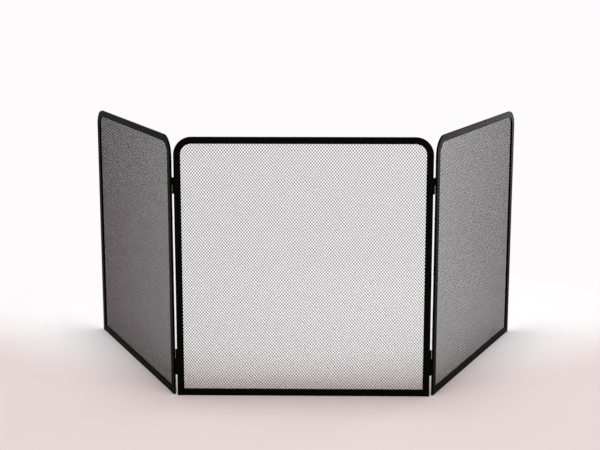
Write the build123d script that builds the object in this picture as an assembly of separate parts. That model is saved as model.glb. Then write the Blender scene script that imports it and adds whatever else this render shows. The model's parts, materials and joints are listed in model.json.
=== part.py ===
from build123d import *
import math
import os

# Three-panel folding fireplace screen.
# +X is the viewer's right, +Y points away from the viewer towards the fire, +Z is up.
# The origin is the centre of the whole screen's footprint, on the floor.
# Lengths are in millimetres and angles in degrees.

os.makedirs("parts", exist_ok=True)

# panels
centre_width = 600.0
wing_width = 540.0
height = 625.0
rest_fold = 61.5  # how far each wing is folded back from straight

# flat bar of the frames
bar_width = 16.0
bar_thickness = 5.0
corner_radius = 42.0  # outer bend radius of the two top corners
bar_edge_radius = 0.6

# mesh sheet and the strips that clamp it to the back of a frame
mesh_thickness = 1.3
strip_width = 6.0
strip_margin = 5.0  # from a bar's outer edge in to its strip and to the edge of the mesh
strip_thickness = 1.0
strip_end_gap = 1.0

# thin-head screws of the strips
screw_radius = 1.5
screw_clearance = 0.1
screw_depth = 3.0  # length of thread in the bar
screw_head_radius = 2.8
screw_head_height = 0.7
screw_slot_width = 0.8
screw_slot_depth = 0.3
screw_spacing = 135.0
screw_end_margin = 18.0

# hinges: a knuckle on the centre frame and one on the wing, on a common pin
flat_gap = 3.0  # between the frames' edges when the screen is opened straight
fold_clearance = 0.2  # between a panel's back and the plane of the hinge axes, folded flat
barrel_radius = 3.0
pin_radius = 1.5
pin_clearance = 0.05  # radial, in the wing's knuckle
pin_chamfer = 0.3
leaf_end_gap = 0.5  # between a hinge leaf and the edge of the mesh
leaf_thickness = 1.8
leaf_inset = 1.2  # the leaf runs this close to the hinge axis
knuckle_gap = 0.5
upper_hinge_drop = 96.0  # from the top of the panels down to the top of the upper hinge
upper_centre_knuckle = 20.0
upper_wing_knuckle = 18.0
lower_hinge_rise = 50.0  # from the floor up to the foot of the lower hinge
lower_centre_knuckle = 22.0
lower_wing_knuckle = 40.0

# derived places
back_stack = mesh_thickness + strip_thickness + screw_head_height
axis_setback = max(barrel_radius, back_stack) + fold_clearance  # behind the bars' back face
axis_depth = bar_thickness + axis_setback  # from the front face of the bars
wing_reach = flat_gap / 2 + wing_width  # from a hinge axis to the wing's outer edge
fold = math.radians(rest_fold)
overall_depth = axis_depth + wing_reach * math.sin(fold) - axis_setback * math.cos(fold)
front_y = -overall_depth / 2
axis_x = centre_width / 2 + flat_gap / 2
upper_hinge_height = upper_centre_knuckle + knuckle_gap + upper_wing_knuckle
upper_hinge_rise = height - upper_hinge_drop - upper_hinge_height
mesh_back = bar_thickness + mesh_thickness
strip_back = mesh_back + strip_thickness
strip_far = strip_margin + strip_width  # from a bar's outer edge to its strip's inner edge


def block(x, y, z):
    """A box from three (low, high) pairs."""
    size = [high - low for low, high in (x, y, z)]
    centre = [(low + high) / 2 for low, high in (x, y, z)]
    return Pos(*centre) * Box(*size)


def arch(margin, bottom, radius, width):
    """An upright face with two rounded top corners, a margin inside the panel's outline."""
    across = width - 2 * margin
    tall = height - margin - bottom
    outline = Pos(width / 2, bottom + tall / 2) * Rectangle(across, tall)
    return fillet(outline.vertices().sort_by(Axis.Y)[-2:], radius)


def plate(outline, front, back):
    """Give an upright face a thickness, from one depth behind the panel's front to another."""
    return Pos(0, back, 0) * extrude(Plane.XZ * outline, back - front)


def along_y(radius, front, back):
    """A round bar along +Y."""
    return Pos(0, (front + back) / 2, 0) * Rot(90, 0, 0) * Cylinder(radius, back - front)


def ease_front(bar, edges):
    """Round the long front edges of a bar."""
    return fillet([e for e in edges if abs(e.center().Y) < 0.01], bar_edge_radius)


def screw_places(width):
    """Screw centres (x, z) on the four strips of a panel."""
    middle = strip_margin + strip_width / 2
    top = height - middle
    side_low = strip_far + strip_end_gap + screw_end_margin
    side_high = height - corner_radius - screw_end_margin
    end_low = corner_radius + screw_end_margin
    end_high = width - end_low

    def spread(low, high):
        steps = max(1, round((high - low) / screw_spacing))
        return [low + (high - low) * i / steps for i in range(steps + 1)]

    level = [(x, z) for x in spread(end_low, end_high) for z in (middle, top)]
    upright = [(x, z) for z in spread(side_low, side_high) for x in (middle, width - middle)]
    return level + upright


def drill(piece, width, radius, front, back):
    """Cut a panel's screw holes in one of its pieces, where a hole meets the piece."""
    box = piece.bounding_box()
    for x, z in screw_places(width):
        if box.min.X < x < box.max.X and box.min.Z < z < box.max.Z:
            piece -= Pos(x, 0, z) * along_y(radius, front, back)
    return piece


def frame_hoop(width):
    """Both stiles and the top bar: one flat bar bent at the two top corners."""
    outer = arch(0, 0, corner_radius, width)
    inner = arch(bar_width, -bar_width, corner_radius - bar_width, width)
    hoop = plate(outer - inner, 0, bar_thickness)
    hoop = ease_front(hoop, [e for e in hoop.edges() if e.center().Z > 0.01])
    return drill(hoop, width, screw_radius, bar_thickness - screw_depth, bar_thickness)


def bottom_rail(width):
    """The straight bar welded between the feet of the stiles."""
    across = (bar_width, width - bar_width)
    rail = block(across, (0, bar_thickness), (0, bar_width))
    rail = ease_front(rail, rail.edges().filter_by(Axis.X))
    return drill(rail, width, screw_radius, bar_thickness - screw_depth, bar_thickness)


def mesh_sheet(width):
    """The mesh as a plain sheet: its outline and thickness, without its openings."""
    outline = arch(strip_margin, strip_margin, corner_radius - strip_margin, width)
    sheet = plate(outline, bar_thickness, mesh_back)
    return drill(sheet, width, screw_radius + screw_clearance, bar_thickness, mesh_back)


def strips(width):
    """The four clamping strips, by name."""
    level = (corner_radius, width - corner_radius)
    whole = (strip_margin, width - strip_margin)
    upright = (strip_far + strip_end_gap, height - corner_radius)
    places = {
        "top": (level, (height - strip_far, height - strip_margin)),
        "bottom": (whole, (strip_margin, strip_far)),
        "left": ((strip_margin, strip_far), upright),
        "right": ((width - strip_far, width - strip_margin), upright),
    }
    made = {}
    for name, (x, z) in places.items():
        strip = block(x, (mesh_back, strip_back), z)
        made[name] = drill(strip, width, screw_radius + screw_clearance, mesh_back, strip_back)
    return made


def screws(width):
    """All the screws of a panel, each a separate solid with a slotted thin head."""
    tip = bar_thickness - screw_depth
    head_back = strip_back + screw_head_height
    slot_front = head_back - screw_slot_depth
    reach = screw_head_radius
    thin = screw_slot_width / 2
    shank = along_y(screw_radius - screw_clearance, tip, strip_back)
    head = along_y(screw_head_radius, strip_back, head_back)
    slot = block((-reach, reach), (slot_front, head_back), (-thin, thin))
    screw = shank + head - slot
    return Compound([Pos(x, 0, z) * screw for x, z in screw_places(width)])


def panel(width):
    """Every piece of one panel, with its lower left front corner at the origin."""
    pieces = {
        "frame": frame_hoop(width),
        "bottom_rail": bottom_rail(width),
        "mesh": mesh_sheet(width),
        "screws": screws(width),
    }
    for name, strip in strips(width).items():
        pieces["strip_" + name] = strip
    return pieces


def knuckle(bottom, length, bore, side):
    """A hinge barrel on the axis with a leaf towards its own panel (side -1 or +1 along X)."""
    middle = bottom + length / 2
    leaf_end = flat_gap / 2 + strip_margin - leaf_end_gap
    span = sorted((side * leaf_inset, side * leaf_end))
    depth = (-axis_setback, leaf_thickness - axis_setback)
    leaf = block(span, depth, (bottom, bottom + length))
    barrel = Pos(0, 0, middle) * Cylinder(barrel_radius, length)
    return barrel + leaf - Pos(0, 0, middle) * Cylinder(bore, length)


def hinge(bottom, lower_length, upper_length, wing_is_upper, wing_side):
    """Both knuckles and the pin of one hinge, with the hinge axis on the Z axis."""
    upper_bottom = bottom + lower_length + knuckle_gap
    lower = (bottom, lower_length)
    upper = (upper_bottom, upper_length)
    wing_place, centre_place = (upper, lower) if wing_is_upper else (lower, upper)
    tall = lower_length + knuckle_gap + upper_length
    pin = Cylinder(pin_radius, tall)
    pin = chamfer(pin.edges().filter_by(GeomType.CIRCLE), pin_chamfer)
    return {
        "centre_knuckle": knuckle(*centre_place, pin_radius, -wing_side),
        "wing_knuckle": knuckle(*wing_place, pin_radius + pin_clearance, wing_side),
        "pin": Pos(0, 0, bottom + tall / 2) * pin,
    }


def write(name, shape):
    shape.label = name
    export_step(shape, f"parts/{name}.step")


def main():
    for name, piece in panel(centre_width).items():
        write("centre_" + name, Pos(-centre_width / 2, front_y, 0) * piece)

    wing = panel(wing_width)
    for side_name, side in (("left", -1), ("right", 1)):
        axis = Pos(side * axis_x, front_y + axis_depth, 0)
        folded = axis * Rot(0, 0, side * rest_fold)
        inner_edge = flat_gap / 2 if side > 0 else -wing_reach
        for name, piece in wing.items():
            write(f"{side_name}_wing_{name}", folded * Pos(inner_edge, -axis_depth, 0) * piece)

        upper = hinge(upper_hinge_rise, upper_centre_knuckle, upper_wing_knuckle, True, side)
        lower = hinge(lower_hinge_rise, lower_wing_knuckle, lower_centre_knuckle, False, side)
        for level, made in (("upper", upper), ("lower", lower)):
            for name, piece in made.items():
                place = folded if name == "wing_knuckle" else axis
                write(f"{side_name}_{level}_hinge_{name}", place * piece)


main()
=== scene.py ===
import json
import math

import bmesh
import bpy
from mathutils import Matrix, Vector


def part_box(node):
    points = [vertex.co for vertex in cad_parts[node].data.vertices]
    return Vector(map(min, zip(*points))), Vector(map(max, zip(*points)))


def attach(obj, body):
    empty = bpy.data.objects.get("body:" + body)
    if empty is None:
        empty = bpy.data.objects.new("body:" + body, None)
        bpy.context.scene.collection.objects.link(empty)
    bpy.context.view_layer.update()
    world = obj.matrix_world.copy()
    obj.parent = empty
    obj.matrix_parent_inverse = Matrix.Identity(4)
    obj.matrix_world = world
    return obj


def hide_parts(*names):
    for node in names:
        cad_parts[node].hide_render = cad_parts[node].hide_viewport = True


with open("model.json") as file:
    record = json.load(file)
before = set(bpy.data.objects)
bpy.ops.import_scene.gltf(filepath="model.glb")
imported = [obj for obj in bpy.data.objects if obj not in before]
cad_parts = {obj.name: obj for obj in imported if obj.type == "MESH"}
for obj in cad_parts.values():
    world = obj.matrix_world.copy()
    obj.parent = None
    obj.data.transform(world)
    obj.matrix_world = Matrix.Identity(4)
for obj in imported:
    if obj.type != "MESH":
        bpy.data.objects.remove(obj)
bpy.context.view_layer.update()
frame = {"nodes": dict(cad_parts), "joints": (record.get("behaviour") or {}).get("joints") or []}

MM = 0.001

# --- sizes of the screen, as the frame model has them ---
REST_FOLD = math.radians(61.5)  # each wing's fold back from straight, at rest
BEND_RADIUS = 42 * MM  # outer radius of a frame's two top corners
SHEET_MARGIN = 5 * MM  # from a frame's outer edge in to the edge of its mesh sheet

# --- expanded mesh ---
DIAMOND_WIDTH = 6.75 * MM
DIAMOND_HEIGHT = 8.25 * MM
SHEET_GAUGE = 0.55 * MM
STRAND_WIDTH = 1.25 * MM
STRAND_TWIST = math.radians(-38)  # raised mesh: each strand stands nearly edge on to the sheet
BOND_HALF_SIZE = Vector((0.9, 0.6, 1.4)) * MM  # a bond joins the strands where they cross
CORNER_CUTS = 4  # straight cuts that round each top corner of a sheet

BACKDROP_WHITE = "#FDFBFC"
FLOOR_WARM = "#E6D7D6"


# ---------------------------------------------------------------- colours and nodes


def linear(hex_colour):
    """An sRGB hex colour as linear RGBA."""
    channels = [int(hex_colour[i : i + 2], 16) / 255 for i in (1, 3, 5)]
    return [c / 12.92 if c <= 0.04045 else ((c + 0.055) / 1.055) ** 2.4 for c in channels] + [1]


def add_node(tree, kind, settings=None, **inputs):
    """Add a node; an input is a value or another node's output socket.

    An input goes by its name, or by its number after a low line, as in _0.
    """
    node = tree.nodes.new(kind)
    for name, value in (settings or {}).items():
        setattr(node, name, value)
    for name, value in inputs.items():
        socket = node.inputs[int(name[1:]) if name[1:].isdigit() else name.replace("_", " ")]
        if isinstance(value, bpy.types.NodeSocket):
            tree.links.new(value, socket)
        else:
            socket.default_value = value
    return node


def new_material(name):
    material = bpy.data.materials.new(name)
    material.use_nodes = True
    material.node_tree.nodes.clear()
    return material, material.node_tree


def powder_coat(name, colour, worn_colour, roughness, grain_height):
    """Black polyester powder coat, baked on: dead matt, with a faint orange-peel skin.

    It shows almost black face on, and greyer along a bar that is seen at a low angle.
    """
    peel_size = 1.5 * MM  # from crest to crest
    drift_size = 60 * MM  # the coat's thickness wanders, a slight change of depth
    gloss_drift = 0.05  # and of roughness, either way
    material, tree = new_material(name)
    place = add_node(tree, "ShaderNodeTexCoord")
    peel = add_node(
        tree,
        "ShaderNodeTexNoise",
        Vector=place.outputs["Object"],
        Scale=1 / peel_size,
        Detail=2.0,
        Roughness=0.5,
    )
    drift = add_node(
        tree, "ShaderNodeTexNoise", Vector=place.outputs["Object"], Scale=1 / drift_size, Detail=3.0
    )
    shade = add_node(
        tree,
        "ShaderNodeMix",
        {"data_type": "RGBA"},
        Factor=drift.outputs["Fac"],
        _6=linear(colour),
        _7=linear(worn_colour),
    )
    gloss = add_node(
        tree,
        "ShaderNodeMapRange",
        Value=drift.outputs["Fac"],
        To_Min=roughness - gloss_drift,
        To_Max=roughness + gloss_drift,
    )
    skin = add_node(
        tree,
        "ShaderNodeBump",
        Height=peel.outputs["Fac"],
        Distance=grain_height,
        Strength=0.6,
    )
    # The matting filler in the coat leaves next to no gloss.
    coat = add_node(
        tree,
        "ShaderNodeBsdfPrincipled",
        Base_Color=shade.outputs[2],
        Roughness=gloss.outputs["Result"],
        IOR=1.5,
        Specular_IOR_Level=0.02,
        Normal=skin.outputs["Normal"],
    )
    add_node(tree, "ShaderNodeOutputMaterial", Surface=coat.outputs["BSDF"])
    return material


def black_zinc():
    """Black chromate over zinc plate, on small turned steel parts: a dark metal, softly shiny."""
    patch_size = 2 * MM  # the chromate takes unevenly
    material, tree = new_material("black_zinc_plate")
    place = add_node(tree, "ShaderNodeTexCoord")
    patches = add_node(
        tree, "ShaderNodeTexNoise", Vector=place.outputs["Object"], Scale=1 / patch_size, Detail=3.0
    )
    shade = add_node(
        tree,
        "ShaderNodeMix",
        {"data_type": "RGBA"},
        Factor=patches.outputs["Fac"],
        _6=linear("#1A1A1C"),
        _7=linear("#2B2A28"),
    )
    dullness = add_node(
        tree, "ShaderNodeMapRange", Value=patches.outputs["Fac"], To_Min=0.3, To_Max=0.45
    )
    plate = add_node(
        tree,
        "ShaderNodeBsdfPrincipled",
        Base_Color=shade.outputs[2],
        Metallic=1.0,
        Roughness=dullness.outputs["Result"],
    )
    add_node(tree, "ShaderNodeOutputMaterial", Surface=plate.outputs["BSDF"])
    return material


# ---------------------------------------------------------------- mesh sheets


def sheet_extent(node, straight):
    """Lowest and highest corner of a CAD sheet, measured in its panel's own straight space."""
    back = straight.inverted()
    points = [back @ v.co for v in frame["nodes"][node].data.vertices]
    low = Vector([min(p[i] for p in points) for i in range(3)])
    high = Vector([max(p[i] for p in points) for i in range(3)])
    return low, high


def cut_away(mesh, point, outward):
    """Cut a mesh off along a plane and close the ends of the strands that it cuts."""
    everything = mesh.verts[:] + mesh.edges[:] + mesh.faces[:]
    made = bmesh.ops.bisect_plane(
        mesh, geom=everything, plane_co=point, plane_no=outward, clear_outer=True
    )
    rim = [e for e in made["geom_cut"] if isinstance(e, bmesh.types.BMEdge)]
    bmesh.ops.holes_fill(mesh, edges=rim, sides=0)


def lay_strands(mesh, low, high, lean):
    """Parallel strands across the whole sheet, all leaning the same way."""
    tall = high.z - low.z
    middle = (low + high) / 2
    run = lean * tall * DIAMOND_WIDTH / DIAMOND_HEIGHT
    strand = bmesh.ops.create_cube(mesh, size=1)["verts"]
    bmesh.ops.scale(mesh, vec=(SHEET_GAUGE, STRAND_WIDTH, tall), verts=strand)
    bmesh.ops.rotate(mesh, matrix=Matrix.Rotation(STRAND_TWIST, 3, "Z"), verts=strand)
    shear = Matrix.Identity(4)
    shear[0][2] = run / tall
    bmesh.ops.transform(mesh, matrix=shear, verts=strand)
    bmesh.ops.translate(mesh, vec=middle, verts=strand)
    faces = list({f for v in strand for f in v.link_faces})
    half_span = (high.x - low.x + abs(run)) / 2
    count = math.ceil(half_span / DIAMOND_WIDTH)
    for step in range(-count, count + 1):
        if step:
            copy = bmesh.ops.duplicate(mesh, geom=faces + strand)["geom"]
            copied = [v for v in copy if isinstance(v, bmesh.types.BMVert)]
            bmesh.ops.translate(mesh, vec=(step * DIAMOND_WIDTH, 0, 0), verts=copied)


def press_bond(mesh, place):
    """One bond: two four-sided points, base to base."""
    rim = bmesh.ops.create_circle(mesh, cap_ends=True, segments=4, radius=1)["verts"]
    upper = rim[0].link_faces[0]
    edges = upper.edges[:]
    tips = bmesh.ops.poke(mesh, faces=[upper], offset=1)["verts"]
    lower = bmesh.ops.holes_fill(mesh, edges=edges, sides=0)["faces"]
    tips += bmesh.ops.poke(mesh, faces=lower, offset=1)["verts"]
    bond = rim + tips
    bmesh.ops.scale(mesh, vec=BOND_HALF_SIZE, verts=bond)
    bmesh.ops.translate(mesh, vec=place, verts=bond)
    return bond


def press_bonds(mesh, low, high, radius):
    """A bond at each crossing of two strands that lies whole inside the sheet's outline."""
    middle = (low + high) / 2
    half = (high - low) / 2
    seeds = []
    columns = math.floor(half.x / (DIAMOND_WIDTH / 2))
    for column in range(-columns, columns + 1):
        across = column * DIAMOND_WIDTH / 2
        bond = press_bond(mesh, middle + Vector((across, 0, 0)))
        edges = {e for v in bond for e in v.link_edges}
        faces = {f for v in bond for f in v.link_faces}
        seeds.append((column, across, bond + list(edges) + list(faces)))
    rows = math.floor((half.z - BOND_HALF_SIZE.z) / (DIAMOND_HEIGHT / 2))
    for row in range(-rows, rows + 1):
        rise = row * DIAMOND_HEIGHT / 2
        into_bend = max(0, rise + BOND_HALF_SIZE.z - (half.z - radius))
        room = half.x - radius + math.sqrt(radius**2 - into_bend**2) - BOND_HALF_SIZE.x
        chosen = []
        for column, across, bond in seeds:
            if (column + row) % 2 == 0 and abs(across) < room:
                chosen += bond
        copy = bmesh.ops.duplicate(mesh, geom=chosen)["geom"]
        copied = [v for v in copy if isinstance(v, bmesh.types.BMVert)]
        bmesh.ops.translate(mesh, vec=(0, 0, rise), verts=copied)
    spare = [v for _, _, bond in seeds for v in bond if isinstance(v, bmesh.types.BMVert)]
    bmesh.ops.delete(mesh, geom=spare, context="VERTS")


def expanded_sheet(name, node, straight, body, material):
    """The diamond mesh of one panel, trimmed to its CAD sheet's outline."""
    low, high = sheet_extent(node, straight)
    radius = BEND_RADIUS - SHEET_MARGIN
    mesh = bmesh.new()
    for lean in (1, -1):
        lay_strands(mesh, low, high, lean)
    cut_away(mesh, low, (-1, 0, 0))
    cut_away(mesh, high, (1, 0, 0))
    for side, edge in ((-1, low.x), (1, high.x)):
        centre = Vector((edge - side * radius, 0, high.z - radius))
        for cut in range(1, CORNER_CUTS + 1):
            angle = math.radians(90) * cut / (CORNER_CUTS + 1)
            outward = Vector((side * math.cos(angle), 0, math.sin(angle)))
            cut_away(mesh, centre + radius * outward, outward)
    press_bonds(mesh, low, high, radius)
    bmesh.ops.transform(mesh, matrix=straight, verts=mesh.verts)
    return finished_piece(name, mesh, body, material, node)


def finished_piece(name, mesh, body, material, node):
    data = bpy.data.meshes.new(name)
    mesh.to_mesh(data)
    mesh.free()
    data.materials.append(material)
    piece = bpy.data.objects.new(name, data)
    bpy.context.scene.collection.objects.link(piece)
    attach(piece, body)
    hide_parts(node)
    return piece


def wing_space(joint_name, side):
    """From a wing laid straight, with its hinge axis at the origin, to its place at rest."""
    joint = next(j for j in frame["joints"] if j["name"] == joint_name)
    return Matrix.Translation(joint["pos_m"]) @ Matrix.Rotation(side * REST_FOLD, 4, "Z")


# ---------------------------------------------------------------- studio


def backdrop_rays(tree):
    """1 for a ray that shows the backdrop: to the eye, in a glossy surface or through glass."""
    ray = add_node(tree, "ShaderNodeLightPath")
    gloss = add_node(
        tree,
        "ShaderNodeMath",
        {"operation": "MAXIMUM"},
        _0=ray.outputs["Is Camera Ray"],
        _1=ray.outputs["Is Glossy Ray"],
    )
    glass = add_node(
        tree,
        "ShaderNodeMath",
        {"operation": "MAXIMUM"},
        _0=gloss.outputs[0],
        _1=ray.outputs["Is Transmission Ray"],
    )
    return glass.outputs[0]


def warm_laminate_painted_light_pool():
    """Laminate of a table top, warm towards the viewer, with a painted pool of light that turns it
    white behind the screen.

    Away from the screen it runs out into the white of the room, as the eye and gloss see it. The
    light on the screen and the shadow under it don't change.
    """
    white_middle = 1.39  # metres behind the screen's own middle
    white_radius, warm_radius = 1.31, 1.69
    side_squeeze = 1.1  # the white area is narrower than it is deep by this factor
    no_limit = 9  # metres, past the edge of the floor
    fade_middle = (0, -0.1, 0)
    fade_start, fade_end = 0.78, 1.3
    material, tree = new_material("warm_laminate_painted_light_pool")
    place = add_node(tree, "ShaderNodeTexCoord")
    from_white = add_node(
        tree,
        "ShaderNodeMapping",
        Vector=place.outputs["Object"],
        Location=(0, -white_middle, 0),
        Scale=(side_squeeze, 1, 1),
    )
    # Further back than the white's middle, only the distance to either side counts.
    level = add_node(
        tree,
        "ShaderNodeVectorMath",
        {"operation": "MINIMUM"},
        _0=from_white.outputs[0],
        _1=(no_limit, 0, no_limit),
    )
    reach = add_node(tree, "ShaderNodeVectorMath", {"operation": "LENGTH"}, _0=level.outputs[0])
    # Painted pool of light: behind the screen the top's own warm tone is turned white, so the floor
    # there looks more brightly lit.
    painted_light_pool = add_node(
        tree,
        "ShaderNodeMapRange",
        {"interpolation_type": "SMOOTHSTEP"},
        Value=reach.outputs["Value"],
        From_Min=white_radius,
        From_Max=warm_radius,
        To_Min=1.0,
        To_Max=0.0,
    )
    tint = add_node(
        tree,
        "ShaderNodeMix",
        {"data_type": "RGBA"},
        Factor=painted_light_pool.outputs["Result"],
        _6=linear(FLOOR_WARM),
        _7=linear(BACKDROP_WHITE),
    )
    away = add_node(
        tree,
        "ShaderNodeVectorMath",
        {"operation": "DISTANCE"},
        _0=place.outputs["Object"],
        _1=fade_middle,
    )
    fade = add_node(
        tree,
        "ShaderNodeMapRange",
        {"interpolation_type": "SMOOTHSTEP"},
        Value=away.outputs["Value"],
        From_Min=fade_start,
        From_Max=fade_end,
    )
    top = add_node(tree, "ShaderNodeBsdfDiffuse", Color=tint.outputs[2])
    beyond = add_node(tree, "ShaderNodeEmission", Color=linear(BACKDROP_WHITE), Strength=1.0)
    amount = add_node(
        tree,
        "ShaderNodeMath",
        {"operation": "MULTIPLY"},
        _0=fade.outputs["Result"],
        _1=backdrop_rays(tree),
    )
    both = add_node(
        tree,
        "ShaderNodeMixShader",
        _0=amount.outputs[0],
        _1=top.outputs[0],
        _2=beyond.outputs[0],
    )
    add_node(tree, "ShaderNodeOutputMaterial", Surface=both.outputs[0])
    return material


def floor():
    """The table top that the screen stands on, 16 m square."""
    mesh = bmesh.new()
    bmesh.ops.create_grid(mesh, x_segments=1, y_segments=1, size=8)
    data = bpy.data.meshes.new("floor")
    mesh.to_mesh(data)
    mesh.free()
    data.materials.append(warm_laminate_painted_light_pool())
    top = bpy.data.objects.new("floor", data)
    bpy.context.scene.collection.objects.link(top)


def room_light():
    """Soft light from all round, brighter from the viewer's side than from behind the screen."""
    viewer_side, far_side = 0.75, 0.43
    world = bpy.data.worlds.new("studio")
    world.use_nodes = True
    tree = world.node_tree
    tree.nodes.clear()
    place = add_node(tree, "ShaderNodeTexCoord")
    direction = add_node(tree, "ShaderNodeSeparateXYZ", Vector=place.outputs["Generated"])
    depth = add_node(
        tree,
        "ShaderNodeMapRange",
        {"interpolation_type": "SMOOTHSTEP"},
        Value=direction.outputs["Y"],
        From_Min=-1.0,
        From_Max=1.0,
        To_Min=viewer_side,
        To_Max=far_side,
    )
    lit = add_node(tree, "ShaderNodeBackground", Color=linear("#FFFFFF"), Strength=depth.outputs[0])
    plain = add_node(tree, "ShaderNodeBackground", Color=linear(BACKDROP_WHITE), Strength=1.0)
    both = add_node(
        tree,
        "ShaderNodeMixShader",
        _0=backdrop_rays(tree),
        _1=lit.outputs[0],
        _2=plain.outputs[0],
    )
    add_node(tree, "ShaderNodeOutputWorld", Surface=both.outputs[0])
    bpy.context.scene.world = world


def softbox(name, place, aim, width, depth, watts):
    lamp = bpy.data.lights.new(name, "AREA")
    lamp.shape = "RECTANGLE"
    lamp.size = width
    lamp.size_y = depth
    lamp.energy = watts
    holder = bpy.data.objects.new(name, lamp)
    holder.location = place
    holder.rotation_euler = (Vector(aim) - Vector(place)).to_track_quat("-Z", "Y").to_euler()
    holder.visible_camera = False
    bpy.context.scene.collection.objects.link(holder)


def camera():
    """A long lens above the screen's height, looking slightly down."""
    data = bpy.data.cameras.new("camera")
    data.sensor_width = 36
    data.lens = 67.04
    # Some shift keeps the stiles close to upright; more would lose the top of the screen when it is
    # looked at from its sides.
    data.shift_y = -0.12
    holder = bpy.data.objects.new("camera", data)
    centre_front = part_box("centre_frame")[0].y
    holder.location = (0.028, centre_front - 2.527, 1.028)
    pitch, yaw = math.radians(9.87), math.radians(0.81)
    holder.rotation_euler = (math.pi / 2 - pitch, 0, yaw)
    bpy.context.scene.collection.objects.link(holder)
    bpy.context.scene.camera = holder


def main():
    coat = powder_coat("black_powder_coat", "#040503", "#070806", 0.5, 0.02 * MM)
    # The strands' black coat is given a lighter, warm brown-black colour: a painted sheen for the
    # light that the thin strands catch.
    wire = powder_coat("black_coat_painted_sheen_on_expanded_steel", "#3F2F33", "#483A3D", 0.5, 0.01 * MM)
    zinc = black_zinc()
    for name, node in frame["nodes"].items():
        finish = zinc if name.endswith(("screws", "pin")) else coat
        node.data.materials.clear()
        node.data.materials.append(finish)
    expanded_sheet("centre_mesh_wire", "centre_mesh", Matrix.Identity(4), "centre", wire)
    for side_name, side in (("left", -1), ("right", 1)):
        space = wing_space(f"{side_name}_wing_fold", side)
        wing = f"{side_name}_wing"
        expanded_sheet(f"{wing}_mesh_wire", f"{wing}_mesh", space, wing, wire)
    floor()
    room_light()
    softbox("overhead", (0, -0.24, 4.0), aim=(0, -0.24, 0), width=1.55, depth=1.55, watts=77)
    softbox("side", (2.9, 2.2, 0.45), aim=(0.4, 0, 0.4), width=0.8, depth=0.9, watts=28)
    camera()
    bpy.context.scene.view_settings.view_transform = "Standard"


main()
